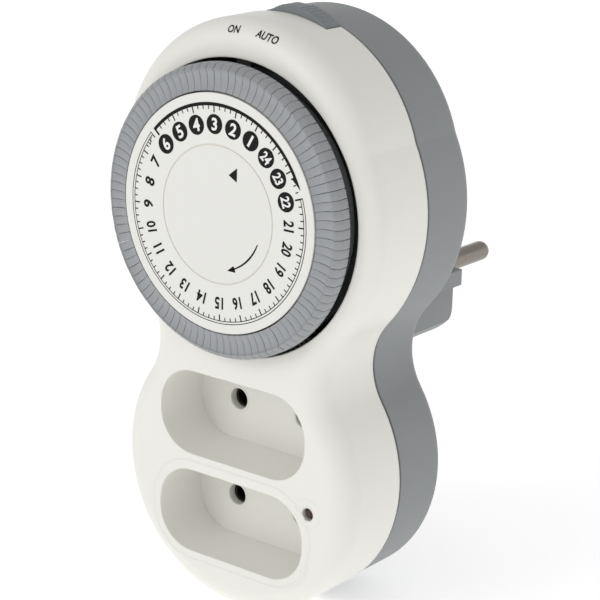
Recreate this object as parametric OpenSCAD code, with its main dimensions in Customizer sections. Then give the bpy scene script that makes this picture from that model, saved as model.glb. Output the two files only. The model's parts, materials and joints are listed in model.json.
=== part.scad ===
// Plug-in 24 hour segment timer with two europlug sockets.
// Built about the dial axis (X right, Y into the wall, Z up, dial face at y = 0), then moved so that the
// origin lies between the two plug pins on the end face of the plug.

/* [Casing] */
// Radius of the casing around the dial
dial_lobe_r = 37.1; // [35.5:0.1:42]
// Height of the casing's top above the dial axis
top_height = 41.3; // [39.5:0.1:45]
// Radius of the casing's rounded top
top_r = 34.6; // [32:0.1:35.4]
// Radius of the casing around the sockets
socket_lobe_r = 32.8; // [31:0.1:38]
// Distance from the dial axis down to the centre of the socket lobe
lobe_spacing = 61.7; // [58:0.1:68]
// Radius of the hollow waist between the two lobes
waist_r = 15.1; // [10:0.1:24]
// Depth of the front casing's face behind the dial face
face_y = 6; // [5.8:0.1:8]
// Depth of the joint between the casing halves behind the dial face
joint_y = 25.5; // [25:0.1:28]
// Depth of the casing's back behind the dial face
back_y = 43; // [42:0.1:56]
// Thickness of the casing walls
wall = 2; // [1.6:0.1:2.2]
// Rounding of the front edge
front_round = 5.5; // [3:0.1:6]
// Rounding of the back edge
back_round = 2.8; // [2:0.1:3]

/* [Dial] */
// Radius of the white number disc
face_r = 26.3; // [25:0.1:26.6]
// Radius of the still centre cap
cap_r = 15.1; // [12:0.1:18]
// Outer radius of the ring of time segments
ring_r = 32.4; // [31:0.1:32.5]
// Number of time segments
segments = 96; // [48:24:96]
// Travel of a pushed segment
segment_travel = 3; // [1:0.1:3.2]

/* [Sockets] */
// Half of the width of a socket recess
recess_half_w = 20.7; // [18:0.1:21]
// Height of a socket recess
recess_h = 19.8; // [15:0.1:20.2]
// Rounding of a socket recess's ends
recess_round = 9.2; // [5:0.1:9.6]
// Depth of a socket recess
recess_depth = 14.4; // [12:0.1:15]
// Distance from the dial axis down to the upper socket
socket_1_down = 49.5; // [49:0.1:51]
// Distance between the two sockets
socket_pitch = 23.8; // [23.4:0.1:24.4]
// Distance between the two pin holes of a socket
hole_pitch = 19; // [18.6:0.1:19.2]
// Radius of a pin hole
hole_r = 2.5; // [2.3:0.05:2.8]

/* [Plug] */
// Distance from the dial face to the end of the plug
plug_reach = 73; // [60:0.1:90]
// Height of the dial axis above the plug
dial_up = 24.6; // [22:0.1:30]
// Radius of the plug body
plug_r = 18.6; // [17.5:0.1:18.9]
// Distance between the two plug pins
pin_pitch = 19; // [19:0.1:19.2]
// Radius of a plug pin
pin_r = 2.4; // [2:0.05:2.4]
// Length of a plug pin
pin_len = 19; // [18:0.1:20]
// Width of the plug body across its flats
plug_flats = 26.6; // [25:0.1:30]
// Width of the plug body across its side tabs
plug_tabs = 31.2; // [30:0.1:34]
// Height of the side tabs, down from the pins on the right and up on the left
tab_h = 3.9; // [2:0.1:6]

/* [Hidden] */
$fn = 64;
eps = 0.01;
hours = 24;
function segment_node(hour) = str("segments_", hour < 10 ? "0" : "", hour);

// Lobe centres as [x, z], measured from the dial axis
top_c = [0, top_height - top_r];
low_c = [0, -lobe_spacing];
seam = 0.02;
hub_reach = dial_lobe_r + waist_r;
low_reach = socket_lobe_r + waist_r;
waist_down = (pow(lobe_spacing, 2) + pow(hub_reach, 2) - pow(low_reach, 2)) / (2 * lobe_spacing);
waist_x = sqrt(pow(hub_reach, 2) - pow(waist_down, 2));

// Dial parts
drum_wall = 2;
face_t = 1.5;
hub_r = 6.5;
post_r = 4;
run_gap = 0.05;
drum_web_y = 11.5;
carrier_y = 13;
carrier_t = 2;
carrier_r = ring_r - 2.1;
foot_r = ring_r - 2.9;
ring_in_r = face_r + 0.3;
rim_back_y = 4.2;
foot_back_y = carrier_y - segment_travel - 0.4;
segment_gap = 0.3;
opening_r = ring_r + 0.6;

// Gears: all of one module, spaced so that they mesh at rest
gear_m = 0.5;
dial_teeth = 96;
pinion_teeth = 10;
wheel_teeth = 40;
gear_y = carrier_y + carrier_t;
gear_t = 3;
wheel_y = 21.6;
wheel_t = 1.6;
arbor_down = (dial_teeth + pinion_teeth) * gear_m / 2;
motor_a = 130;
motor_reach = (wheel_teeth + pinion_teeth) * gear_m / 2;
motor_c = [motor_reach * cos(motor_a), -arbor_down + motor_reach * sin(motor_a)];
arbor_r = 0.8;
sleeve_r = 1.6;
plate_y = gear_y + gear_t + 0.8;
plate_t = 1.5;
plate_r = 27.5;
motor_y = wheel_y + wheel_t + 1.2;
motor_r = 13;
motor_len = 11;

// Mode slider and its slot, by angle from the top towards +X
slide_y0 = joint_y - 4.9;
slide_from = -7.2;
slide_to = 20.5;
slide_turn = 15;
slot_spare = 0.6;
slide_out_r = top_r + 1.2;
slide_in_r = top_r - wall - 1.2;

// Switch lever
nose_y = face_y + wall + 0.2;
nose_z = carrier_r + 0.7;
lever_c = [nose_y + 4.4, top_height - wall - 3.5];
lever_w = 4;
lever_pin_r = 1;
pin_seat = 0.05;
switch_y = lever_c[0] + 3.9;
switch_z = plate_r + 0.5;
switch_h = 5;
switch_len = 9;

// Brass strips
strip_t = 0.8;
strip_in = 2.3;
strip_y = back_y - wall - 3;

floor_y = face_y + recess_depth;
socket_z = [for (k = [0, 1]) -socket_1_down - k * socket_pitch];
boss_gap = 4.2;
boss_a = 30;
spot_r = top_r - wall - boss_gap;
top_spot = [spot_r * cos(boss_a), top_c[1] + spot_r * sin(boss_a)];
low_spot = socket_z[1] - recess_h / 2 - wall - 3.1;
mid_spot = [recess_half_w - 3.3, -(ring_r + 1)];
screw_spots = [top_spot, [-top_spot[0], top_spot[1]], mid_spot, [-mid_spot[0], mid_spot[1]], [0, low_spot]];
screw_r = 1.4;
head_r = 2.7;
boss_r = 2.6;
tube_wall = 0.6;
lamp_c = [recess_half_w + 1.4, (socket_z[0] + socket_z[1]) / 2 - 3.6];
lamp_r = 1.5;
case_white = [0.93, 0.93, 0.9];
case_grey = [0.5, 0.52, 0.53];
ring_grey = [0.6, 0.62, 0.64];
brass = [0.78, 0.66, 0.36];
steel = [0.7, 0.7, 0.72];
nickel = [0.72, 0.7, 0.66];

// ---- shared shapes ----

// A flat shape drawn as [x, z], made solid from depth y0 to depth y1
module slab(y0, y1) {
    translate([0, y1, 0])
        rotate([90, 0, 0])
            linear_extrude(y1 - y0)
                children();
}

// A half profile drawn as [radius, y], turned about the Y axis
module turned() {
    rotate([-90, 0, 0])
        rotate_extrude()
            children();
}

module rod(r, y0, y1) {
    slab(y0, y1)
        circle(r);
}

module at(x, z) {
    translate([x, 0, z])
        children();
}

// Half profile from the axis out to r, with its two outer corners rounded
module rim(r, y0, y1, front, back) {
    translate([0, y0 + front])
        square([r, y1 - y0 - front - back]);
    translate([0, y0])
        square([r - front, front + eps]);
    translate([0, y1 - back - eps])
        square([r - back, back + eps]);
    if (front > 0) {
        translate([r - front, y0 + front])
            circle(front);
    }
    if (back > 0) {
        translate([r - back, y1 - back])
            circle(back);
    }
}

// Half profile that takes the waist out, flaring where the edges are rounded
module flare(r, y0, y1, front, back) {
    translate([0, y0 - 1])
        square([r, y1 - y0 + 2]);
    if (front > 0) {
        difference() {
            translate([0, y0 - 1])
                square([r + front, front + 1]);
            translate([r + front, y0 + front])
                circle(front);
        }
    }
    if (back > 0) {
        difference() {
            translate([0, y1 - back])
                square([r + back, back + 1]);
            translate([r + back, y1 - back])
                circle(back);
        }
    }
}

// Part of a turned solid, from one angle to another (anticlockwise from +X, seen from the front)
module sector(from, to) {
    rotate([0, -from, 0])
        rotate([90, 0, 0])
            rotate_extrude(angle = to - from)
                mirror([0, 1])
                    children();
}

// The waisted outline of the casing as a solid, drawn in by inset, with rounded front and back edges.
// The round lobes run on under the waist, which stands proud of them by the seam.
module waisted(inset, y0, y1, front = 0, back = 0) {
    for (lobe = [[top_c, top_r], [[0, 0], dial_lobe_r], [low_c, socket_lobe_r]]) {
        at(lobe[0][0], lobe[0][1])
            turned()
                rim(lobe[1] - inset, y0, y1, front, back);
    }
    difference() {
        slab(y0, y1)
            polygon([[0, 0], [waist_x, -waist_down], low_c, [-waist_x, -waist_down]]);
        for (side = [-1, 1]) {
            at(side * waist_x, -waist_down)
                turned()
                    flare(waist_r + inset - seam, y0, y1, front, back);
        }
    }
}

// Rounded oblong of a socket recess, grown on every side
module oblong(grow) {
    r = recess_round + grow;
    w = recess_half_w + grow;
    h = recess_h / 2 + grow;
    square([2 * w, 2 * (h - r)], center = true);
    square([2 * (w - r), 2 * h], center = true);
    for (x = [-1, 1], z = [-1, 1]) {
        translate([x * (w - r), z * (h - r)])
            circle(r);
    }
}

// Ring sector drawn as [x, z] about the top lobe's centre, by angle from the top towards +X
module arc_strip(r0, r1, from, to) {
    far = 2 * r1;
    intersection() {
        difference() {
            circle(r1);
            circle(r0);
        }
        polygon([[0, 0], [far * sin(from), far * cos(from)], [0, far * 1.2], [far * sin(to), far * cos(to)]]);
    }
}

// Spur gear with straight-sided teeth, as a flat shape
module spur(teeth, start = 0) {
    pitch_r = teeth * gear_m / 2;
    root_r = pitch_r - 1.2 * gear_m;
    tip_r = pitch_r + 0.85 * gear_m;
    step = 360 / teeth;
    polygon([
        for (k = [0 : teeth - 1])
            for (p = [[-0.31, root_r], [-0.12, tip_r], [0.12, tip_r], [0.31, root_r]])
                p[1] * [cos(start + (k + p[0]) * step), sin(start + (k + p[0]) * step)]
    ]);
}

// ---- casing ----

module recess_tubs() {
    for (z = socket_z) {
        at(0, z)
            slab(face_y + eps, floor_y + wall)
                oblong(wall);
    }
}

module recess_hollows() {
    for (z = socket_z) {
        at(0, z) {
            slab(face_y - 1, floor_y)
                oblong(0);
            for (side = [-1, 1]) {
                at(side * hole_pitch / 2, 0)
                    rod(hole_r, floor_y - 1, floor_y + wall + 1);
            }
        }
    }
}

// Screw bosses: the upper two start behind the dial and hang from the side wall, the rest stand on the front
module front_bosses() {
    end_y = joint_y - 2.7;
    for (k = [0 : len(screw_spots) - 1]) {
        spot = screw_spots[k];
        start_y = k < 2 ? plate_y + 0.3 : face_y + wall - eps;
        at(spot[0], spot[1])
            rod(boss_r, start_y, end_y);
        if (k < 2) {
            at(top_c[0], top_c[1])
                rotate([0, spot[0] > 0 ? -boss_a : boss_a - 180, 0])
                    translate([spot_r + boss_r - 0.5, start_y, -1])
                        cube([boss_gap - boss_r + 1.5, end_y - start_y, 2]);
        }
    }
}

module front_casing() {
    color(case_white)
        difference() {
            union() {
                difference() {
                    waisted(0, face_y, joint_y, front_round);
                    waisted(wall, face_y + wall, joint_y + 1);
                }
                recess_tubs();
                front_bosses();
                at(lamp_c[0], lamp_c[1])
                    rod(lamp_r + 1.2, face_y + 1, face_y + wall + 6);
            }
            rod(opening_r, face_y - 1, face_y + wall + 1);
            rod(carrier_r + 0.8, face_y + wall, plate_y);
            recess_hollows();
            at(top_c[0], top_c[1])
                slab(slide_y0 - 0.2, joint_y + 1)
                    arc_strip(top_r - wall - 0.5, top_r + 9, slide_from - slide_turn - slot_spare, slide_to + slot_spare);
            for (spot = screw_spots) {
                at(spot[0], spot[1])
                    rod(screw_r + 0.02, joint_y - 9, joint_y + 1);
            }
            at(lamp_c[0], lamp_c[1])
                rod(lamp_r, face_y - 1, face_y + wall + 8);
        }
}

module plug_body() {
    clip_w = 8;
    clip_depth = 2.4;
    intersection() {
        turned()
            rim(plug_r, back_y - 4, plug_reach, 0, 2);
        slab(back_y - 5, plug_reach + 1)
            difference() {
                union() {
                    square([plug_flats, 2 * plug_r], center = true);
                    for (side = [-1, 1]) {
                        translate([side * plug_tabs / 4, -side * tab_h / 2])
                            square([plug_tabs / 2, tab_h], center = true);
                    }
                }
                for (side = [-1, 1]) {
                    translate([0, side * (plug_r - clip_depth / 2 + 0.5)])
                        square([clip_w, clip_depth + 1], center = true);
                }
            }
    }
}

module rear_casing() {
    shy = 0.3;
    color(case_grey)
        difference() {
            union() {
                difference() {
                    waisted(shy, joint_y + 0.2, back_y, 0, back_round);
                    waisted(shy + wall, joint_y - 1, back_y - wall);
                }
                at(0, -dial_up)
                    plug_body();
                for (spot = screw_spots) {
                    at(spot[0], spot[1])
                        rod(head_r + 0.3 + tube_wall, joint_y - 2.4, back_y - 1);
                }
            }
            at(0, -dial_up)
                slab(back_y - 5, plug_reach - 4)
                    square([24, 22], center = true);
            for (side = [-1, 1]) {
                at(side * pin_pitch / 2, -dial_up)
                    rod(pin_r - 0.4, plug_reach - 5, plug_reach + 1);
                at(side * pin_pitch / 2, -dial_up)
                    rod(pin_r + pin_seat, plug_reach - 0.5, plug_reach + 1);
            }
            for (spot = screw_spots) {
                at(spot[0], spot[1]) {
                    rod(screw_r + 0.15, joint_y - 4, back_y);
                    rod(head_r + 0.3, back_y - 8, back_y + 1);
                }
            }
        }
}

module case_screws() {
    head_y = back_y - 8;
    color(steel)
        for (spot = screw_spots) {
            at(spot[0], spot[1])
                difference() {
                    union() {
                        rod(screw_r, joint_y - 6.4, head_y + eps);
                        rod(head_r, head_y, head_y + 2);
                    }
                    slab(head_y + 1.2, head_y + 3)
                        union() {
                            square([3.2, 0.7], center = true);
                            square([0.7, 3.2], center = true);
                        }
                }
        }
}

// ---- plug and sockets ----

module plug_pins() {
    tail = plug_reach - 6;
    color(nickel)
        for (side = [-1, 1]) {
            at(side * pin_pitch / 2, -dial_up) {
                turned()
                    union() {
                        translate([0, plug_reach])
                            square([pin_r, pin_len - pin_r]);
                        intersection() {
                            translate([0, plug_reach + pin_len - pin_r])
                                circle(pin_r);
                            translate([0, plug_reach])
                                square([pin_r, pin_len]);
                        }
                    }
                rod(pin_r - 0.4, tail, plug_reach + eps);
            }
        }
}

// Flat strip from a plug pin's tail forward into the casing
module pin_strip(side, front_y) {
    tail = plug_reach - 6;
    at(side * pin_pitch / 2, -dial_up) {
        slab(tail - strip_t, tail)
            square([2 * strip_in, 8], center = true);
        translate([-side * (strip_in - strip_t / 2) - strip_t / 2, front_y, -4])
            cube([strip_t, tail - front_y, 8]);
    }
}

module live_strip() {
    color(brass) {
        pin_strip(1, strip_y);
        translate([pin_pitch / 2 - strip_in, strip_y, -dial_up - 4])
            cube([strip_t, 1, dial_up + 22]);
    }
}

module neutral_strip() {
    color(brass) {
        pin_strip(-1, strip_y);
        translate([-pin_pitch / 2 + strip_in - strip_t, strip_y, -dial_up - 18])
            cube([strip_t, 1, 18]);
    }
}

module socket_contacts() {
    sleeve_y = floor_y + wall + 0.3;
    color(brass)
        for (z = socket_z, side = [-1, 1]) {
            at(side * hole_pitch / 2, z)
                slab(sleeve_y, sleeve_y + 12)
                    difference() {
                        circle(3.1);
                        circle(2.3);
                        translate([0, 3])
                            square([0.8, 4], center = true);
                    }
        }
}

// Flat bar across the rear ends of one side's two contact sleeves
module bus(side, top_z) {
    bar_y = floor_y + wall + 12.3;
    translate([side * hole_pitch / 2 - 3.5, bar_y, socket_z[1] - 4])
        cube([7, 0.8, top_z - socket_z[1] + 4]);
}

module load_bus() {
    color(brass)
        bus(1, -dial_up - 17);
}

module neutral_bus() {
    color(brass)
        bus(-1, -dial_up - 17);
}

module pilot_lamp() {
    color([0.45, 0.2, 0.1])
        at(lamp_c[0], lamp_c[1])
            turned()
                union() {
                    translate([0, face_y + 1.8])
                        square([lamp_r - 0.05, 9]);
                    intersection() {
                        translate([0, face_y + 1.8])
                            circle(lamp_r - 0.05);
                        translate([0, face_y])
                            square([lamp_r, 3]);
                    }
                }
}

// ---- movement ----

module mechanism_plate() {
    color([0.86, 0.86, 0.82])
        difference() {
            union() {
                rod(plate_r, plate_y, plate_y + plate_t);
                at(0, -arbor_down)
                    rod(6, plate_y, plate_y + plate_t);
                rod(post_r, 1.3, plate_y + eps);
                for (a = [20, 160, 335]) {
                    at((plate_r - 3.5) * cos(a), (plate_r - 3.5) * sin(a))
                        rod(2.4, plate_y, back_y - wall - 0.3);
                }
            }
            at(0, -arbor_down)
                rod(sleeve_r + 0.2, plate_y - 1, plate_y + plate_t + 1);
            rod(1.2, 0, 9);
            at(motor_c[0], motor_c[1])
                rod(2, plate_y - 1, plate_y + plate_t + 1);
        }
}

module motor_screws() {
    color(steel)
        for (side = [-1, 1]) {
            at(motor_c[0] + side * (motor_r + 2.6), motor_c[1])
                rod(1, plate_y + plate_t, motor_y + 1.2);
        }
}

module centre_cap() {
    color(case_white) {
        rod(cap_r, 0, 1.3);
        rod(1.15, 1.3 - eps, 8);
    }
}

module motor_can() {
    color(steel)
        at(motor_c[0], motor_c[1])
            difference() {
                rod(motor_r, motor_y + 1.2, motor_y + 1.2 + motor_len);
                rod(motor_r - 0.8, motor_y + 1, motor_y + 0.4 + motor_len);
            }
}

module motor_coil() {
    color([0.7, 0.35, 0.15])
        at(motor_c[0], motor_c[1])
            slab(motor_y + 1.4, motor_y + motor_len)
                difference() {
                    circle(motor_r - 1.1);
                    circle(5);
                }
}

module motor_plate() {
    color(steel)
        at(motor_c[0], motor_c[1])
            slab(motor_y, motor_y + 1.2)
                difference() {
                    union() {
                        circle(motor_r);
                        square([2 * motor_r + 10, 6], center = true);
                    }
                    circle(1.3);
                    translate([-motor_c[0], -arbor_down - motor_c[1]])
                        circle(arbor_r + 0.02);
                    for (side = [-1, 1]) {
                        translate([side * (motor_r + 2.6), 0])
                            circle(1.05);
                    }
                }
}

// Insulated wire as straight runs with round corners
module wire(r, points) {
    for (k = [0 : len(points) - 2]) {
        run = points[k + 1] - points[k];
        turn = atan2(norm([run[0], run[1]]), run[2]);
        translate(points[k]) {
            rotate([0, turn, atan2(run[1], run[0])])
                cylinder(r = r, h = norm(run));
            if (k > 0) {
                sphere(r);
            }
        }
    }
}

module motor_leads() {
    out_y = motor_y + 6;
    out_z = motor_c[1];
    color([0.15, 0.15, 0.6]) {
        wire(0.6, [
            [motor_c[0] + motor_r + 0.7, out_y, out_z],
            [motor_c[0] + motor_r + 3, out_y, out_z],
            [pin_pitch / 2 + 0.9, 38.5, out_z]
        ]);
        wire(0.6, [
            [motor_c[0] - 3, out_y, out_z - motor_r - 0.7],
            [motor_c[0] - 3, out_y, out_z - motor_r - 3],
            [-pin_pitch / 2 - 3.4, 38.5, out_z - motor_r - 4]
        ]);
    }
}

module motor_pinion() {
    color(brass)
        at(motor_c[0], motor_c[1]) {
            slab(wheel_y, wheel_y + wheel_t)
                spur(pinion_teeth, motor_a + 180);
            rod(1.2, wheel_y + wheel_t - eps, motor_y + 1);
        }
}

module gear_arbor() {
    color(steel)
        at(0, -arbor_down)
            rod(arbor_r, gear_y + 0.1, motor_y + 1.2);
}

module reduction_wheel() {
    color([0.9, 0.88, 0.8])
        at(0, -arbor_down)
            slab(wheel_y, wheel_y + wheel_t)
                difference() {
                    spur(wheel_teeth, motor_a + 180 / wheel_teeth);
                    circle(sleeve_r);
                }
}

module reduction_pinion() {
    color(brass)
        at(0, -arbor_down)
            difference() {
                union() {
                    slab(gear_y + 0.2, gear_y + gear_t - 0.2)
                        spur(pinion_teeth, 90 + 180 / pinion_teeth);
                    rod(sleeve_r, gear_y + gear_t - 0.3, wheel_y + wheel_t);
                }
                rod(arbor_r + run_gap, gear_y - 1, wheel_y + wheel_t + 1);
            }
}

// ---- dial ----

module dial_face() {
    color([0.96, 0.96, 0.95])
        slab(0, face_t)
            difference() {
                circle(face_r);
                circle(cap_r + 0.25);
            }
}

module dial_drum() {
    color(case_white) {
        slab(face_t, drum_web_y + eps)
            difference() {
                circle(face_r);
                circle(face_r - drum_wall);
            }
        slab(drum_web_y, carrier_y + carrier_t)
            difference() {
                circle(face_r);
                circle(post_r + run_gap);
            }
        slab(gear_y - eps, gear_y + gear_t)
            difference() {
                spur(dial_teeth, 270);
                circle(post_r + run_gap);
            }
        slab(drum_web_y - 4, drum_web_y + eps)
            difference() {
                circle(hub_r);
                circle(post_r + run_gap);
            }
    }
}

module segment_carrier() {
    color(ring_grey)
        slab(carrier_y, carrier_y + carrier_t)
            difference() {
                circle(carrier_r);
                circle(face_r);
            }
}

module segment() {
    turn = 360 / segments;
    half_gap = segment_gap / ring_r * 90 / PI;
    sector(half_gap, turn - half_gap)
        polygon([
            [ring_in_r, 0],
            [ring_r - 0.9, 1.2],
            [ring_r, 2.2],
            [ring_r, rim_back_y],
            [foot_r, rim_back_y],
            [foot_r, foot_back_y],
            [ring_in_r, foot_back_y]
        ]);
}

module hour_segments(hour) {
    per_hour = segments / hours;
    color(ring_grey)
        for (k = [0 : per_hour - 1]) {
            rotate([0, -(hour * per_hour + k) * 360 / segments, 0])
                segment();
        }
}

// ---- switching ----

module mode_slider() {
    color(case_grey)
        at(top_c[0], top_c[1]) {
            slab(slide_y0, joint_y - 0.1)
                arc_strip(top_r - wall - 0.2, slide_out_r, slide_from, slide_to);
            for (k = [0 : 6]) {
                rotate([0, slide_to - 1.5 - k * 2, 0])
                    translate([-0.25, slide_y0, slide_out_r - 0.3])
                        cube([0.5, joint_y - 0.1 - slide_y0, 0.65]);
            }
            slab(slide_y0 - 1.2, joint_y - 0.3)
                arc_strip(slide_in_r, top_r - wall - 0.2 + eps, slide_from - 2, slide_to + 2);
        }
}

module switch_body() {
    color([0.12, 0.12, 0.13])
        difference() {
            translate([-9, switch_y, switch_z])
                cube([18, switch_len, switch_h]);
            translate([-1.6, switch_y + 3, switch_z + 1.5])
                cube([3.2, 3.2, switch_h]);
        }
}

module switch_plunger() {
    color([0.75, 0.15, 0.1])
        translate([-1.4, switch_y + 3.2, switch_z + 1.8])
            cube([2.8, 2.8, lever_c[1] - 1.3 - switch_z - 1.8]);
}

module switch_lever() {
    arm_end = switch_y + 7;
    color([0.85, 0.82, 0.72])
        difference() {
            union() {
                translate([-lever_w / 2, nose_y, nose_z])
                    cube([lever_w, 1.2, lever_c[1] - nose_z + 0.6]);
                translate([-lever_w / 2, nose_y, lever_c[1] - 1.2])
                    cube([lever_w, arm_end - nose_y, 1.2]);
                translate([-lever_w / 2, lever_c[0], lever_c[1]])
                    rotate([0, 90, 0])
                        cylinder(r = 1.8, h = lever_w);
            }
            translate([-lever_w / 2 - 1, lever_c[0], lever_c[1]])
                rotate([0, 90, 0])
                    cylinder(r = lever_pin_r + run_gap, h = lever_w + 2);
        }
}

module lever_pin() {
    color(steel)
        translate([-4.5, lever_c[0], lever_c[1]])
            rotate([0, 90, 0])
                cylinder(r = lever_pin_r, h = 9);
}

// Moves the whole timer so that the origin lies on the plug's end face
module placed() {
    translate([0, -plug_reach, dial_up])
        children();
}

placed() front_casing();
placed() rear_casing();
placed() case_screws();
placed() plug_pins();
placed() live_strip();
placed() neutral_strip();
placed() socket_contacts();
placed() load_bus();
placed() neutral_bus();
placed() mechanism_plate();
placed() motor_screws();
placed() centre_cap();
placed() motor_can();
placed() motor_coil();
placed() motor_plate();
placed() motor_leads();
placed() motor_pinion();
placed() gear_arbor();
placed() reduction_wheel();
placed() reduction_pinion();
placed() dial_face();
placed() dial_drum();
placed() segment_carrier();
placed() mode_slider();
placed() switch_body();
placed() switch_plunger();
placed() switch_lever();
placed() lever_pin();
placed() pilot_lamp();
for (hour = [0 : hours - 1]) {
    placed() hour_segments(hour);
}
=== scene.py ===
import bpy
import json
import numpy as np
from mathutils import Matrix, Vector


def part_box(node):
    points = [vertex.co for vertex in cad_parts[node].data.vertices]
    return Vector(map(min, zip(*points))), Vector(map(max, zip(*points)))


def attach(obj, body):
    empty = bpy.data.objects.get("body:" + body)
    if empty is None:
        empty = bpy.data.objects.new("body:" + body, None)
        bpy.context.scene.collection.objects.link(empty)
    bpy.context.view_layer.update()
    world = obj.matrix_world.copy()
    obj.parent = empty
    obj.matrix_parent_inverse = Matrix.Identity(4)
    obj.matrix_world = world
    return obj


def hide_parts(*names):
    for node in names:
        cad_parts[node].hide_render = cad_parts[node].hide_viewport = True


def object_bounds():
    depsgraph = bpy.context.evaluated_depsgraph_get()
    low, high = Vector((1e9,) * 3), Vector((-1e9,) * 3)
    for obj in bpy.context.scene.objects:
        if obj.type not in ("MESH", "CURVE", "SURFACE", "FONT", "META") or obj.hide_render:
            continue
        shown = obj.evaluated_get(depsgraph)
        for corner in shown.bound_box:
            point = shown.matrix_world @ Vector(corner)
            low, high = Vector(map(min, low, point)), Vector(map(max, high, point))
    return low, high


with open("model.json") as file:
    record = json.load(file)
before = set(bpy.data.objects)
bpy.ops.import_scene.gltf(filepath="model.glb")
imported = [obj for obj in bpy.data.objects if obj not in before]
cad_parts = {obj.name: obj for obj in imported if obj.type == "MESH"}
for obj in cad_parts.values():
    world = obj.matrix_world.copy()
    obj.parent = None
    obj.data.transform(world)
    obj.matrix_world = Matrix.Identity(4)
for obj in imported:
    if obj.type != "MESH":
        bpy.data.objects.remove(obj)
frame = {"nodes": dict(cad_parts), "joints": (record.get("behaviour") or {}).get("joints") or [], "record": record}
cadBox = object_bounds()
nodes = frame["nodes"]
joints = {joint["name"]: joint for joint in frame["joints"]}
mm = 0.001

dialCentre = np.array(joints["dial_turn"]["pos_m"])
dialCentre[1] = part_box("dial_face")[0].y
topCentre = (np.array(joints["mode_slide"]["pos_m"]) - dialCentre) / mm  # centre of the rounded top, seen from the dial


def boxSize(node):
    low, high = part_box(node)
    return [(a - b) / mm for a, b in zip(low, dialCentre)], [(a - b) / mm for a, b in zip(high, dialCentre)]


capLow, capHigh = boxSize("centre_cap")
frontLow, frontHigh = boxSize("front_casing")
faceRadius = boxSize("dial_face")[1][0]
capRadius = capHigh[0]
casingFront = frontLow[1]
print("frame loaded, dial centre", [round(float(v), 4) for v in dialCentre])


# shader building

class Value:
    # wraps a socket, so that sums and products of shader values are written as sums and products
    def __init__(self, tree, socket):
        self.tree, self.socket = tree, socket

    def math(self, operation, *terms):
        node = self.tree.nodes.new("ShaderNodeMath")
        node.operation = operation
        for slot, term in zip(node.inputs, terms):
            if isinstance(term, Value):
                self.tree.links.new(term.socket, slot)
            else:
                slot.default_value = term
        return Value(self.tree, node.outputs[0])

    def __add__(self, other): return self.math("ADD", self, other)
    def __radd__(self, other): return self.math("ADD", other, self)
    def __sub__(self, other): return self.math("SUBTRACT", self, other)
    def __rsub__(self, other): return self.math("SUBTRACT", other, self)
    def __mul__(self, other): return self.math("MULTIPLY", self, other)
    def __rmul__(self, other): return self.math("MULTIPLY", other, self)

    def band(self, low, high):  # 0 below low, 1 above high, smooth between
        node = self.tree.nodes.new("ShaderNodeMapRange")
        node.interpolation_type = "SMOOTHSTEP"
        self.tree.links.new(self.socket, node.inputs["Value"])
        node.inputs["From Min"].default_value, node.inputs["From Max"].default_value = low, high
        return Value(self.tree, node.outputs["Result"])


class Finish:
    # a material: one principled shader whose varying inputs are fed by the nodes asked for
    def __init__(self, name, **fixed):
        self.material = bpy.data.materials.new(name)
        self.material.use_nodes = True
        self.tree = self.material.node_tree
        self.tree.nodes.clear()
        self.shader = self.tree.nodes.new("ShaderNodeBsdfPrincipled")
        output = self.tree.nodes.new("ShaderNodeOutputMaterial")
        self.tree.links.new(self.shader.outputs[0], output.inputs["Surface"])
        self.place = self.node("ShaderNodeTexCoord", {}, {}, "Object")
        for socket, value in fixed.items():
            self.shader.inputs[socket.replace("_", " ")].default_value = value

    def node(self, kind, settings, inputs, output=0):
        made = self.tree.nodes.new(kind)
        for key, value in settings.items():
            setattr(made, key, value)
        for key, value in inputs.items():
            if isinstance(value, Value):
                self.tree.links.new(value.socket, made.inputs[key])
            else:
                made.inputs[key].default_value = value
        return Value(self.tree, made.outputs[output])

    def feed(self, socket, value):
        self.tree.links.new(value.socket, self.shader.inputs[socket])

    def noise(self, grainMm, detail=3.0, stretch=(1, 1, 1)):
        where = self.node("ShaderNodeMapping", {}, {"Vector": self.place, "Scale": [s / (grainMm * mm) for s in stretch]})
        return self.node("ShaderNodeTexNoise", {}, {"Vector": where, "Scale": 1.0, "Detail": detail, "Roughness": 0.55})

    def mix(self, share, first, second):
        colours = {6: first, 7: second}
        return self.node("ShaderNodeMix", {"data_type": "RGBA"}, {0: share, **colours}, 2)

    def bump(self, height, depthMm, edgeMm=0.0):
        inputs = {"Height": height, "Distance": depthMm * mm, "Strength": 1.0}
        if edgeMm:
            inputs["Normal"] = self.node("ShaderNodeBevel", {"samples": 6}, {"Radius": edgeMm * mm})
        self.feed("Normal", self.node("ShaderNodeBump", {}, inputs))


def rgb(colour):
    return (*colour, 1.0)


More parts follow.
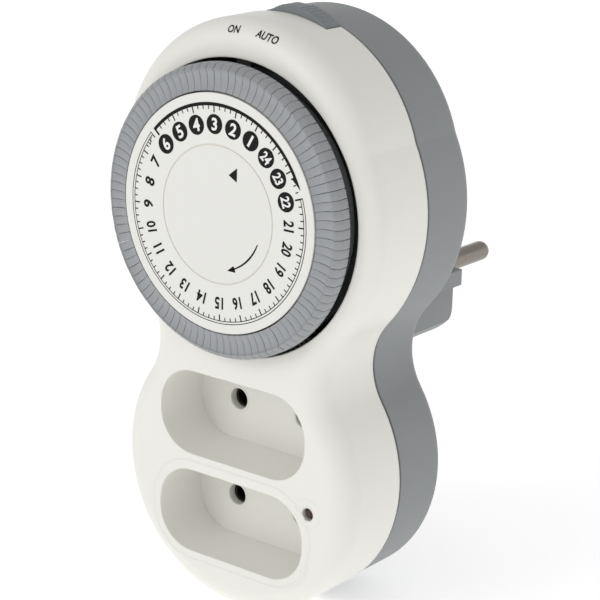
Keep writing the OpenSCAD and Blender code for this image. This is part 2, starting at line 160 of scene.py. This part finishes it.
def mouldedPlastic(name, colour, shade, rough=0.42, grain=0.35, depth=0.006, edge=0.35, cloudMm=14.0,
                   sub=0.0, shine=0.45, joint=0.0):
    # a moulded plastic: faint clouding of the colour, fine spark grain, softened edges, and where joint is given, a
    # painted shadow line behind the joint of the casings
    finish = Finish(name, Specular_IOR_Level=shine)
    cloud = finish.noise(cloudMm, 2.0)
    grainNoise = finish.noise(grain, 3.0)
    speck = finish.noise(grain * 4, 2.0)
    tint = finish.mix(cloud * 0.7 + speck * 0.3, rgb(shade), rgb(colour))
    if joint:  # painted shade: a dark line painted just behind the joint of the casings, joint millimetres wide, standing in for the shadow in the seam
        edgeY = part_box("front_casing")[1].y
        depth = finish.node("ShaderNodeSeparateXYZ", {}, {0: finish.place}, "Y")
        line = 1 - depth.band(edgeY + joint * 0.6 * mm, edgeY + joint * mm)
        # the painted shade is mixed into the colour here
        tint = finish.mix(line * 0.75, tint, rgb((0.04, 0.04, 0.035)))
    finish.feed("Base Color", tint)
    finish.feed("Roughness", grainNoise * 0.12 + (rough - 0.06) + cloud * 0.04)
    finish.bump(grainNoise, depth, edge)
    if sub:
        finish.shader.inputs["Subsurface Weight"].default_value = sub
        finish.shader.inputs["Subsurface Radius"].default_value = (1.0, 0.9, 0.75)
        finish.shader.inputs["Subsurface Scale"].default_value = 0.0008
    return finish.material


def workedMetal(name, colour, shade, rough=0.3, stretch=(1, 1, 1), lineMm=0.12, depth=0.002, edge=0.15):
    # a metal with drawn or brushed lines along one direction
    finish = Finish(name, Metallic=1.0)
    lines = finish.noise(lineMm, 4.0, stretch)
    cloud = finish.noise(3.0, 3.0)
    finish.feed("Base Color", finish.mix(lines * 0.5 + cloud * 0.5, rgb(shade), rgb(colour)))
    finish.feed("Roughness", lines * 0.18 + cloud * 0.1 + (rough - 0.14))
    finish.bump(lines, depth, edge)
    return finish.material


finishes = {
    "casingWhite": mouldedPlastic("casingWhite", (0.855, 0.845, 0.80), (0.83, 0.82, 0.77),
                                  0.40, 0.30, 0.004, 0.5, 20.0, 0.06),
    # the rear casing's grey carries a painted shadow line 1.25 mm wide just behind the joint
    "casingGrey": mouldedPlastic("casingGrey", (0.268, 0.280, 0.285), (0.243, 0.255, 0.260),
                                 0.46, 0.28, 0.010, 0.4, joint=1.25),
    "segmentGrey": mouldedPlastic("segmentGrey", (0.335, 0.347, 0.360), (0.295, 0.307, 0.320),
                                  0.38, 0.22, 0.005, 0.0, 3.0),
    "carrierGrey": mouldedPlastic("carrierGrey", (0.10, 0.105, 0.11), (0.08, 0.085, 0.09), 0.6, 0.3, 0.006, 0.2),
    "dialWhite": mouldedPlastic("dialWhite", (0.80, 0.798, 0.765), (0.785, 0.78, 0.745),
                                0.36, 0.25, 0.003, 0.2, 12.0),
    "capWhite": mouldedPlastic("capWhite", (0.79, 0.786, 0.752), (0.775, 0.77, 0.735),
                               0.34, 0.25, 0.003, 0.25, 9.0),
    "drumWhite": mouldedPlastic("drumWhite", (0.80, 0.80, 0.78), (0.76, 0.76, 0.74), 0.5),
    "plateWhite": mouldedPlastic("plateWhite", (0.76, 0.76, 0.72), (0.72, 0.72, 0.68), 0.5),
    "gearNylon": mouldedPlastic("gearNylon", (0.80, 0.78, 0.70), (0.74, 0.71, 0.62), 0.4, 0.2, 0.004, 0.1, 4.0, 0.1),
    "sliderGrey": mouldedPlastic("sliderGrey", (0.225, 0.240, 0.250), (0.195, 0.210, 0.220),
                                 0.44, 0.25, 0.010, 0.2, 5.0),
    "switchBlack": mouldedPlastic("switchBlack", (0.03, 0.03, 0.033), (0.02, 0.02, 0.022), 0.5),
    "plungerRed": mouldedPlastic("plungerRed", (0.55, 0.05, 0.04), (0.48, 0.04, 0.03), 0.3),
    "wireBlue": mouldedPlastic("wireBlue", (0.07, 0.12, 0.45), (0.05, 0.09, 0.38), 0.35, 0.2, 0.003, 0.0),
    "lampDark": mouldedPlastic("lampDark", (0.060, 0.025, 0.018), (0.035, 0.015, 0.012),
                               0.15, 0.2, 0.002, 0.1),
    "printBlack": mouldedPlastic("printBlack", (0.010, 0.009, 0.009), (0.014, 0.012, 0.012),
                                 0.6, 0.10, 0.002, 0.0, 1.5, 0.0, 0.12),
    "printWhite": mouldedPlastic("printWhite", (0.86, 0.86, 0.845), (0.82, 0.82, 0.80),
                                 0.45, 0.10, 0.002, 0.0, 1.5),
    "rimBeige": mouldedPlastic("rimBeige", (0.79, 0.755, 0.67), (0.75, 0.71, 0.62),
                               0.45, 0.2, 0.003, 0.0, 4.0),
    "pinNickel": workedMetal("pinNickel", (0.29, 0.265, 0.235), (0.21, 0.19, 0.165),
                             0.30, (0.05, 1, 0.05), 0.10, 0.002, 0.3),
    "sleeveTin": workedMetal("sleeveTin", (0.20, 0.175, 0.145), (0.12, 0.10, 0.08), 0.42, (1, 0.1, 1)),
    "screwZinc": workedMetal("screwZinc", (0.66, 0.66, 0.65), (0.55, 0.55, 0.54), 0.28),
    "motorSteel": workedMetal("motorSteel", (0.60, 0.60, 0.61), (0.48, 0.48, 0.50), 0.34, (1, 0.04, 1)),
    "brassRolled": workedMetal("brassRolled", (0.80, 0.62, 0.28), (0.66, 0.48, 0.20), 0.30, (0.04, 1, 1)),
    "brassCut": workedMetal("brassCut", (0.82, 0.66, 0.34), (0.70, 0.52, 0.24), 0.24, (1, 0.1, 1)),
    "coilCopper": workedMetal("coilCopper", (0.62, 0.28, 0.11), (0.42, 0.17, 0.06), 0.3, (0.02, 1, 0.02), 0.35, 0.05, 0.0),
}

cadFinish = {
    "front_casing": "casingWhite", "rear_casing": "casingGrey", "case_screws": "screwZinc", "plug_pins": "pinNickel",
    "live_strip": "brassRolled", "neutral_strip": "brassRolled", "socket_contacts": "sleeveTin",
    "load_bus": "brassRolled", "neutral_bus": "brassRolled", "mechanism_plate": "plateWhite",
    "motor_screws": "screwZinc", "centre_cap": "capWhite", "motor_can": "motorSteel", "motor_coil": "coilCopper",
    "motor_plate": "motorSteel", "motor_leads": "wireBlue", "motor_pinion": "brassCut", "gear_arbor": "motorSteel",
    "reduction_wheel": "gearNylon", "reduction_pinion": "brassCut", "dial_face": "dialWhite",
    "dial_drum": "drumWhite", "segment_carrier": "carrierGrey", "mode_slider": "sliderGrey",
    "switch_body": "switchBlack", "switch_plunger": "plungerRed", "switch_lever": "switchBlack",
    "lever_pin": "motorSteel", "pilot_lamp": "lampDark",
}
for nodeName, finishName in cadFinish.items():
    nodes[nodeName].data.materials.clear()
    nodes[nodeName].data.materials.append(finishes[finishName])
print("finishes made:", len(finishes))


# mesh building

def gridFaces(rows, columns, closeRows=False, closeColumns=False):
    # quads between neighbouring grid points, row by row, joined end to start where asked
    r = np.arange(rows if closeRows else rows - 1)[:, None]
    c = np.arange(columns if closeColumns else columns - 1)[None, :]
    r2, c2 = (r + 1) % rows, (c + 1) % columns
    return np.stack([r * columns + c, r * columns + c2, r2 * columns + c2, r2 * columns + c], -1).reshape(-1, 4)


def addPiece(name, points, faces, finish, body, slot, smooth=True):
    # points are [x, depth, z] in millimetres from the dial centre
    mesh = bpy.data.meshes.new(name)
    mesh.from_pydata((np.asarray(points).reshape(-1, 3) * mm + dialCentre).tolist(), [], [list(map(int, f)) for f in faces])
    mesh.polygons.foreach_set("use_smooth", np.full(len(mesh.polygons), smooth))
    mesh.materials.append(finishes[finish])
    mesh.validate()
    piece = bpy.data.objects.new(name, mesh)
    bpy.context.scene.collection.objects.link(piece)
    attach(piece, body)
    return piece


def turn(points, degrees):
    # points turned about the dial axis, anticlockwise seen from the front
    a = np.radians(degrees)
    x, y, z = np.moveaxis(np.asarray(points, float), -1, 0)
    return np.stack([x * np.cos(a) - z * np.sin(a), y, x * np.sin(a) + z * np.cos(a)], -1)


# time segments

segmentRing = {
    "perHour": 4,
    "gapMm": 0.07,         # between neighbours
    "dishMm": 0.42,        # how far the pushing face dips between its rims
    "edgeMm": 0.12,        # rounding along the sides
    "unevenMm": 0.04,      # small differences in how far they stand out
    "unevenDeg": 0.035,    # small differences in where they stand
    "outer": 32.4, "foot": 29.5, "headDeep": 4.2, "footDeep": 9.6, "middle": 30.0, "heart": (29.4, 2.4),
    # the outer ridge and chamfer, as distance past the outer radius and depth
    "ridge": [[-1.32, 0.34], [-1.1, 0.36], [-0.95, 0.56], [-0.35, 1.15], [-0.08, 1.6], [0, 2.3]],
    "seed": 7,
}


def segmentProfile(inner, outer):
    # closed outline of a segment's cross section as [radius, depth]: a dished pushing face from the inner rim to
    # a low outer ridge, a chamfer, the outer side, and the foot behind
    t = np.linspace(0, 1, 11)
    dish = segmentRing["dishMm"] * np.sin(np.pi * t) ** 0.8
    top = np.stack([inner + 0.1 + (outer - 1.5 - inner) * t, 0.12 + 0.38 * t + dish], -1)
    ridge = [[outer + past, depth] for past, depth in segmentRing["ridge"]]
    head, foot = segmentRing["headDeep"], segmentRing["footDeep"]
    rest = ridge + [[outer, head], [segmentRing["foot"], head], [segmentRing["foot"], foot], [inner, foot],
                    [inner, 4.0], [inner, 0.35]]
    return np.concatenate([top, rest])


def addSegments():
    profile = segmentProfile(faceRadius + 0.3, segmentRing["outer"])
    heart = np.array(segmentRing["heart"])
    count = segmentRing["perHour"] * 24
    half = 180 / count - np.degrees(segmentRing["gapMm"] / 2 / segmentRing["middle"])
    edge = np.degrees(segmentRing["edgeMm"] / segmentRing["middle"])
    angles = np.array([-half, -half + edge * 0.35, -half + edge, half - edge, half - edge * 0.35, half])
    inset = np.array([1.0, 0.35, 0.0, 0.0, 0.35, 1.0]) * segmentRing["edgeMm"]
    away = heart - profile
    away = away / np.linalg.norm(away, axis=1)[:, None]
    rings = profile[None] + away[None] * inset[:, None, None]
    flat = np.stack([rings[..., 0] * np.cos(np.radians(angles))[:, None], rings[..., 1],
                     rings[..., 0] * np.sin(np.radians(angles))[:, None]], -1)
    steps = len(profile)
    sides = gridFaces(len(angles), steps, closeColumns=True)
    # each end is closed by a single face over the whole outline
    faces = [f[::-1] for f in sides.tolist()] + [list(range(steps)), list(range(5 * steps, 6 * steps))[::-1]]
    chance = np.random.default_rng(segmentRing["seed"])
    for hour in range(24):
        points, every = [], []
        for k in range(segmentRing["perHour"]):
            place = (hour * segmentRing["perHour"] + k + 0.5) * 360 / count
            one = turn(flat, place + chance.normal(0, segmentRing["unevenDeg"]))
            one[..., 1] += abs(chance.normal(0, segmentRing["unevenMm"]))
            every += [[i + len(points) * flat.shape[0] * steps for i in f] for f in faces]
            points.append(one.reshape(-1, 3))
        name = f"segments_{hour:02d}"
        piece = addPiece(f"timeSegments_{hour:02d}", np.concatenate(points), every, "segmentGrey", name, "ring_grey")
        piece.data.shade_smooth()
        piece.data.set_sharp_from_angle(angle=np.radians(50))
        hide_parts(name)


addSegments()
print("time segments made")


# printing on the dial

dialPrint = {
    "numberRadius": 19.6, "discRadius": 2.16, "numberHeight": 2.75, "discNumberHeight": 2.8,
    "arcOuter": 24.25, "arcInner": 23.5, "shortTick": 22.75, "longTick": 22.15, "tickWidth": 0.24,
    "thinLine": 0.17, "darkHours": 9, "lastDark": 6, "numberAt": 48, "inkMm": 0.035,
    "thickArc": (138.4, 22.3),          # angles, clockwise from 6 to 22
    "thinArc": (18.2, 142.0 - 360),     # angles, clockwise from 22 to 6
}


def arcBand(inner, outer, start, stop, depth, steps=160):
    # a flat band between two radii: radius along one grid parameter, angle along the other; radii may be arrays
    a = np.radians(np.linspace(start, stop, steps))
    r = np.stack([np.broadcast_to(inner, steps), np.broadcast_to(outer, steps)])
    points = np.stack([r * np.cos(a), np.full_like(r, depth), r * np.sin(a)], -1)
    faces = gridFaces(2, steps)
    return points.reshape(-1, 3), faces if stop < start else faces[:, ::-1]


def bar(angle, inner, outer, width, depth):
    # a straight radial bar
    points = np.array([[inner, depth, -width / 2], [outer, depth, -width / 2],
                       [outer, depth, width / 2], [inner, depth, width / 2]])
    return turn(points, angle), np.array([[0, 1, 2, 3]])


def fan(outline, depth):
    # a flat filled shape from [x, z] corners given anticlockwise
    o = np.asarray(outline, float)
    return np.stack([o[:, 0], np.full(len(o), depth), o[:, 1]], -1), [list(range(len(o)))]


def joined(parts):
    points, faces, start = [], [], 0
    for p, f in parts:
        points.append(np.asarray(p).reshape(-1, 3))
        faces += [[int(i) + start for i in face] for face in f]
        start += len(points[-1])
    return np.concatenate(points), faces


def textShape(words, height, heavy=0.0, narrow=1.0, slant=0.0):
    # letters as a flat mesh centred on its own middle, x to the right and z up, in millimetres
    curve = bpy.data.curves.new("letters", "FONT")
    curve.body, curve.size, curve.offset, curve.shear = words, 1.0, heavy, slant
    curve.align_x, curve.resolution_u = "CENTER", 3
    holder = bpy.data.objects.new("letters", curve)
    bpy.context.scene.collection.objects.link(holder)
    bpy.context.view_layer.update()
    mesh = bpy.data.meshes.new_from_object(holder.evaluated_get(bpy.context.evaluated_depsgraph_get()))
    co = np.zeros(len(mesh.vertices) * 3)
    mesh.vertices.foreach_get("co", co)
    co = co.reshape(-1, 3)
    faces = [list(f.vertices) for f in mesh.polygons]
    bpy.data.objects.remove(holder)
    bpy.data.curves.remove(curve)
    bpy.data.meshes.remove(mesh)
    middle = (co.max(0) + co.min(0)) / 2
    tall = co[:, 1].max() - co[:, 1].min()
    co = (co - middle) * height / tall
    return np.stack([co[:, 0] * narrow, np.zeros(len(co)), co[:, 1]], -1), faces


def facing(parts):
    # every face turned so that it looks out of the dial
    points, faces = joined(parts)
    out = []
    for f in faces:
        a, b, c = points[f[0]], points[f[1]], points[f[2]]
        out.append(f if np.cross(b - a, c - a)[1] < 0 else f[::-1])
    return points, out


def addDialPrint():
    d, ink = dialPrint, -dialPrint["inkMm"]
    black, white = [], []
    dark = [(d["lastDark"] - k - 1) % 24 + 1 for k in range(d["darkHours"])]
    for number in range(1, 25):
        angle = d["numberAt"] + 15 * number
        onDisc = number in dark
        height = d["discNumberHeight"] if onDisc else d["numberHeight"]
        if onDisc and number > 9:
            height *= 0.84
        points, faces = textShape(str(number), height, 0.03, 0.8 if number > 9 else 1.0, 0.05)
        points = points + [0, 2.2 * ink if onDisc else ink, d["numberRadius"]]
        (white if onDisc else black).append((turn(points, angle - 90), faces))
        if onDisc:
            ringAngles = np.radians(np.arange(0, 360, 7.5))
            discX, discZ = d["discRadius"] * np.cos(ringAngles), d["discRadius"] * np.sin(ringAngles)
            disc = np.stack([discX, discZ + d["numberRadius"]], -1)
            points, faces = fan(disc, ink)
            black.append((turn(points, angle - 90), faces))
    for k in range(96):
        angle = d["numberAt"] + 3.75 * k
        inner = d["longTick"] if k % 4 == 0 else d["shortTick"]
        black.append(bar(angle, inner, d["arcInner"] + 0.02, d["tickWidth"] * (1.25 if k % 4 == 0 else 1), ink))
    start, stop = d["thickArc"]
    black.append(arcBand(d["arcInner"], d["arcOuter"], start, stop + 7, ink))
    t = np.linspace(0, 1, 24)
    flank = d["arcInner"] - 0.55 + (d["arcOuter"] - d["arcInner"] + 0.45) * t
    black.append(arcBand(flank, d["arcOuter"] - 0.02 * t, stop + 7, stop, ink, 24))
    black.append(bar(start, d["longTick"], d["arcOuter"], 0.3, ink))
    start, stop = d["thinArc"]
    for radius in (d["arcInner"], d["arcOuter"] - d["thinLine"]):
        black.append(arcBand(radius, radius + d["thinLine"], start, stop, ink))
    black.append(bar(start, d["longTick"] + 0.1, d["arcOuter"], 0.24, ink))
    black.append(bar(stop - 0.4, d["arcInner"] - 0.9, d["arcOuter"] + 0.1, 0.2, ink))
    hook = d["arcInner"] - 0.9 + 0.9 * t
    black.append(arcBand(hook, hook + 0.2, stop + 5.2, stop + 1.0, ink, 24))
    black.append(bar(stop + 5.2, d["arcInner"] - 0.9, d["arcInner"] + 0.1, 0.2, ink))
    addPiece("dialPrintBlack", *facing(black), "printBlack", "dial", "dial_white", False)
    addPiece("dialPrintWhite", *facing(white), "printWhite", "dial", "dial_white", False)


addDialPrint()

capPrint = {
    "triangle": [[3.1, 9.2], [5.35, 7.95], [5.4, 11.05]],
    "turnRadius": 12.2, "turnFrom": -22, "turnTo": -71, "turnWidth": 0.42,
}


def addCapPrint():
    ink = capLow[1] - dialPrint["inkMm"]
    t = np.linspace(0, 1, 40)
    width = capPrint["turnWidth"] / 2 * (0.45 + 0.55 * np.sin(np.pi * np.minimum(t * 0.9 + 0.1, 1)))
    parts = [fan(capPrint["triangle"], ink),
             arcBand(capPrint["turnRadius"] - width, capPrint["turnRadius"] + width,
                     capPrint["turnFrom"], capPrint["turnTo"], ink, 40)]
    tip, back = np.radians(capPrint["turnTo"] - 4.2), np.radians(capPrint["turnTo"] + 5.4)
    r = capPrint["turnRadius"]
    corners = [[(r + 0.1) * np.cos(tip), (r + 0.1) * np.sin(tip)], [(r + 0.85) * np.cos(back), (r + 0.85) * np.sin(back)],
               [r * np.cos(back * 0.985), r * np.sin(back * 0.985)], [(r - 0.65) * np.cos(back), (r - 0.65) * np.sin(back)]]
    parts.append(fan(corners[:3], ink))
    parts.append(fan([corners[0], corners[2], corners[3]], ink))
    addPiece("capPrint", *facing(parts), "printBlack", "case", "dial_white", False)


addCapPrint()

modeWords = {"height": 1.5, "ON": [-1.9, 38.9, 3], "AUTO": [7.1, 38.3, -11], "edgeRound": 5.5, "standOff": 0.11}


def addModeWords():
    # letters laid on the casing's rounded front edge: depth follows the quarter circle of the rounding
    parts = []
    topRadius = frontHigh[2] - topCentre[2]
    for words in ("ON", "AUTO"):
        across, up, lean = modeWords[words]
        points, faces = textShape(words, modeWords["height"], 0.018, 1.0)
        points = turn(points, lean) + [across, 0, up]
        out = np.hypot(points[:, 0], points[:, 2] - topCentre[2]) - (topRadius - modeWords["edgeRound"])
        out = np.clip(out, 0, modeWords["edgeRound"])
        curved = modeWords["edgeRound"] - np.sqrt(modeWords["edgeRound"] ** 2 - out ** 2)
        points[:, 1] = casingFront + curved - modeWords["standOff"]
        parts.append((points, faces))
    addPiece("modeWords", *facing(parts), "printBlack", "case", "casing_white", False)


addModeWords()
print("printing made")


# rims and lips

rims = {
    "capGapDepth": 0.12,       # the beige ring between the still cap and the turning disc
    "lipOut": 2.1, "lipWidth": 0.9, "lipHeight": 0.14,     # faint lip round the lower recess
    "lampRim": 1.55, "lampLip": 3.3,
    "holeRim": 0.42, "hole": 2.5,           # countersink round each pin hole
    "recessHalf": (20.7, 9.9), "recessCorner": 9.2, "recessDeep": 14.4,
}


def turnedBand(profile, centre, count=72):
    # a profile of [radius, depth] turned about an axis through centre [x, z]
    a = np.radians(np.arange(count) * 360 / count)
    p = np.asarray(profile, float)
    points = np.stack([centre[0] + p[None, :, 0] * np.cos(a)[:, None], np.broadcast_to(p[None, :, 1], (count, len(p))),
                       centre[1] + p[None, :, 0] * np.sin(a)[:, None]], -1)
    return points.reshape(-1, 3), gridFaces(count, len(p), closeRows=True)


def oblongPath(halfWide, halfHigh, corner, steps=14):
    # points round a rounded oblong with their outward directions, anticlockwise: four quarter circles joined by straights
    starts = np.array([0, 90, 180, 270])
    a = np.radians(starts[:, None] + np.linspace(0, 90, steps)[None, :])
    cx = (halfWide - corner) * np.array([1, -1, -1, 1])[:, None]
    cz = (halfHigh - corner) * np.array([1, 1, -1, -1])[:, None]
    out = np.stack([np.cos(a), np.sin(a)], -1).reshape(-1, 2)
    path = np.stack([cx + corner * np.cos(a), cz + corner * np.sin(a)], -1).reshape(-1, 2)
    return path, out


def carried(profile, path, out, centre):
    # a profile of [outward distance, depth] carried along a closed path
    p = np.asarray(profile, float)
    flat = path[:, None, :] + out[:, None, :] * p[None, :, :1]
    depth = np.broadcast_to(p[None, :, 1], flat.shape[:2])
    points = np.stack([centre[0] + flat[..., 0], depth, centre[1] + flat[..., 1]], -1)
    return points.reshape(-1, 3), gridFaces(len(path), len(p), closeRows=True)


def hump(middle, width, height, base, steps=9):
    # a low smooth ridge: half a cosine wave standing on base
    t = np.linspace(-1, 1, steps)
    return np.stack([middle + t * width / 2, base + 0.02 - (height + 0.02) * (0.5 + 0.5 * np.cos(np.pi * t))], -1)


def addRims():
    mounts = {m["name"]: (np.array(m["pos_m"]) - dialCentre) / mm for m in frame["record"]["mounts"]}
    low = [mounts["socket_2_left"], mounts["socket_2_right"]]
    middle = (low[0] + low[1]) / 2
    path, out = oblongPath(*rims["recessHalf"], rims["recessCorner"])
    lip = hump(rims["lipOut"], rims["lipWidth"], rims["lipHeight"], casingFront)
    parts = [carried(lip, path, out, (middle[0], middle[2]))]
    lampLow, lampHigh = boxSize("pilot_lamp")
    lamp = ((lampLow[0] + lampHigh[0]) / 2, (lampLow[2] + lampHigh[2]) / 2)
    parts.append(turnedBand(hump(rims["lampLip"], 0.8, 0.08, casingFront), lamp))
    parts.append(turnedBand(hump(rims["lampRim"] + 0.22, 0.5, 0.12, casingFront), lamp, 40))
    addPiece("frontLips", *facing(parts), "casingWhite", "case", "casing_white")
    hole, wide = rims["hole"], rims["hole"] + rims["holeRim"]
    rim = [[hole, 0.0], [hole + 0.02, -0.12], [hole + 0.12, -0.2], [wide, -0.2], [wide + 0.1, -0.1], [wide + 0.15, 0.02]]
    rim = np.array(rim) + [0, casingFront + rims["recessDeep"]]
    spots = [mounts[f"socket_{k}_{side}"] for k in (1, 2) for side in ("left", "right")]
    holes = [turnedBand(rim, (spot[0], spot[2]), 48) for spot in spots]
    addPiece("pinHoleRims", *facing(holes), "casingWhite", "case", "casing_white")
    gap = [[capRadius - 0.02, rims["capGapDepth"]], [capRadius + 0.27, rims["capGapDepth"]]]
    addPiece("capGapRing", *facing([turnedBand(gap, (0, 0), 120)]), "rimBeige", "case", "dial_white")


addRims()
print("rims and lips made")


# mode slider

sliderShape = {
    "fromDeg": -7.2, "toDeg": 20.5,  # angles from the top towards the right
    "ribs": 7, "ribFrom": 7.0, "ribTo": 20.0, "ribHeight": 0.2,
    "rampDeg": 9.0, "fallDeg": 13.0, "edge": 0.4, "rise": 1.75, "inset": 1.2, "deep": 2.2,
}


def addSlider():
    # an arched block: its cross section is carried round the top's centre, its height ramps up at the left end and
    # carries soft ribs, each one a half sine wave, towards the right end
    low, high = boxSize("mode_slider")
    radius = frontHigh[2] - topCentre[2]
    start, stop = sliderShape["fromDeg"], sliderShape["toDeg"]
    a = np.linspace(start, stop, 150)
    ribSpan = sliderShape["ribTo"] - sliderShape["ribFrom"]
    ribs = np.clip((a - sliderShape["ribFrom"]) / ribSpan, 0, 1) * sliderShape["ribs"]
    ribbed = sliderShape["ribHeight"] * np.abs(np.sin(np.pi * ribs)) ** 0.7
    ramp = np.clip((a - start) / sliderShape["rampDeg"], 0, 1)
    fall = np.clip((stop - a) / sliderShape["fallDeg"], 0, 1)
    arch = 0.1 + 0.9 * ramp * ramp * (3 - 2 * ramp) * np.sin(np.pi / 2 * fall)
    top = radius + 0.1 + sliderShape["rise"] * arch + ribbed - sliderShape["ribHeight"]
    e = sliderShape["edge"]
    front, back, under = low[1] + sliderShape["inset"], high[1] - 0.02, radius - sliderShape["deep"]
    rim = np.radians(np.linspace(0, 90, 5))
    # the cross section as [depth, height share, fixed height]: under side, front edge rounded by e, top, back
    depth = np.concatenate([[back, front], front + e * (1 - np.cos(rim)), [back - 0.02, back]])
    drop = np.concatenate([[0, 0], e * (1 - np.sin(rim)), [0.0, 0.04]])
    share = np.array([0, 0, 1, 1, 1, 1, 1, 1, 1], float)
    height = share[None] * (top[:, None] - drop[None]) + (1 - share[None]) * under
    r = np.radians(a)[:, None]
    depth = np.broadcast_to(depth[None], height.shape)
    points = np.stack([topCentre[0] + height * np.sin(r), depth, topCentre[2] + height * np.cos(r)], -1)
    rows, columns = height.shape
    faces = gridFaces(rows, columns, closeColumns=True).tolist()
    faces += [list(range(columns))[::-1], list(range((rows - 1) * columns, rows * columns))]
    piece = addPiece("modeSlider", points, faces, "sliderGrey", "slider", "slider_grey")
    piece.data.set_sharp_from_angle(angle=np.radians(40))
    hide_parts("mode_slider")


addSlider()
print("mode slider made")


# floor, light and camera

studio = {
    "key": 1.55, "keyWide": 0.5, "keyAt": (-0.28, -0.82, 0.42),
    "fill": 0.06, "fillWide": 0.6, "fillAt": (0.6, -0.5, 0.2), "lampAim": (0, -0.04, 0), "sky": 0.60,
    "floorReach": 6, "floorBend": 0.6, "floorRise": 0.5,  # metres
    "lensMm": 125.22, "distanceMm": 436.8, "azimuth": 37.55, "elevation": 17.08, "roll": 1.57, "aimMm": [23.04, 0, -14.26],
}


def addFloor():
    # a plain floor whose far edge rises in a smooth sweep: a quarter circle between the level and the upright part
    low = cadBox[0].z
    reach, bend, rise = studio["floorReach"], studio["floorBend"], studio["floorRise"]
    x = np.linspace(-reach, reach, 3)
    sweep = np.linspace(0.1, np.pi / 2, 12)
    run = np.concatenate([np.linspace(-reach, bend, 8), bend + rise * np.sin(sweep)])
    height = np.concatenate([np.zeros(8), rise * (1 - np.cos(sweep))])
    gx, gy = np.meshgrid(x, run)
    gz = np.repeat(height[:, None], 3, 1) + low
    mesh = bpy.data.meshes.new("floor")
    mesh.from_pydata(np.stack([gx, gy, gz], -1).reshape(-1, 3).tolist(), [], gridFaces(len(run), 3).tolist())
    mesh.materials.append(paperWhite())
    mesh.shade_smooth()
    floor = bpy.data.objects.new("floor", mesh)
    bpy.context.scene.collection.objects.link(floor)


def paperWhite():
    finish = Finish("paperWhite", Roughness=0.9, Specular_IOR_Level=0.1)
    finish.feed("Base Color", finish.mix(finish.noise(60, 2.0), rgb((0.93, 0.93, 0.93)), rgb((0.95, 0.95, 0.95))))
    finish.shader.inputs["Emission Color"].default_value = rgb((1, 1, 1))
    finish.shader.inputs["Emission Strength"].default_value = 0.42
    return finish.material


def addLamp(name, watts, size, place, aim):
    lamp = bpy.data.lights.new(name, "AREA")
    lamp.energy, lamp.size, lamp.shape = watts, size, "DISK"
    holder = bpy.data.objects.new(name, lamp)
    holder.location = Vector(place)
    holder.rotation_euler = (Vector(aim) - Vector(place)).to_track_quat("-Z", "Y").to_euler()
    bpy.context.scene.collection.objects.link(holder)


def addSky():
    world = bpy.data.worlds.new("studioSky")
    bpy.context.scene.world = world
    world.use_nodes = True
    tree = world.node_tree
    tree.nodes["Background"].inputs["Color"].default_value = rgb((1, 1, 1))
    tree.nodes["Background"].inputs["Strength"].default_value = studio["sky"]


def addCamera():
    data = bpy.data.cameras.new("camera")
    data.lens, data.sensor_width = studio["lensMm"], 36.0
    data.clip_start, data.clip_end = 0.01, 20
    holder = bpy.data.objects.new("camera", data)
    a, e = np.radians(studio["azimuth"]), np.radians(studio["elevation"])
    back = Vector((np.sin(a) * np.cos(e), -np.cos(a) * np.cos(e), np.sin(e)))
    aim = Vector(dialCentre + np.array(studio["aimMm"]) * mm)
    holder.location = aim + back * studio["distanceMm"] * mm
    roll = Matrix.Rotation(np.radians(studio["roll"]), 4, "Z")
    turned = (-back).to_track_quat("-Z", "Y").to_matrix().to_4x4() @ roll
    holder.rotation_euler = turned.to_euler()
    bpy.context.scene.collection.objects.link(holder)
    bpy.context.scene.camera = holder


addFloor()
addSky()
addLamp("keyLight", studio["key"], studio["keyWide"], studio["keyAt"], studio["lampAim"])
addLamp("fillLight", studio["fill"], studio["fillWide"], studio["fillAt"], studio["lampAim"])
addCamera()
bpy.context.scene.view_settings.view_transform = "Standard"
print("floor, light and camera made")
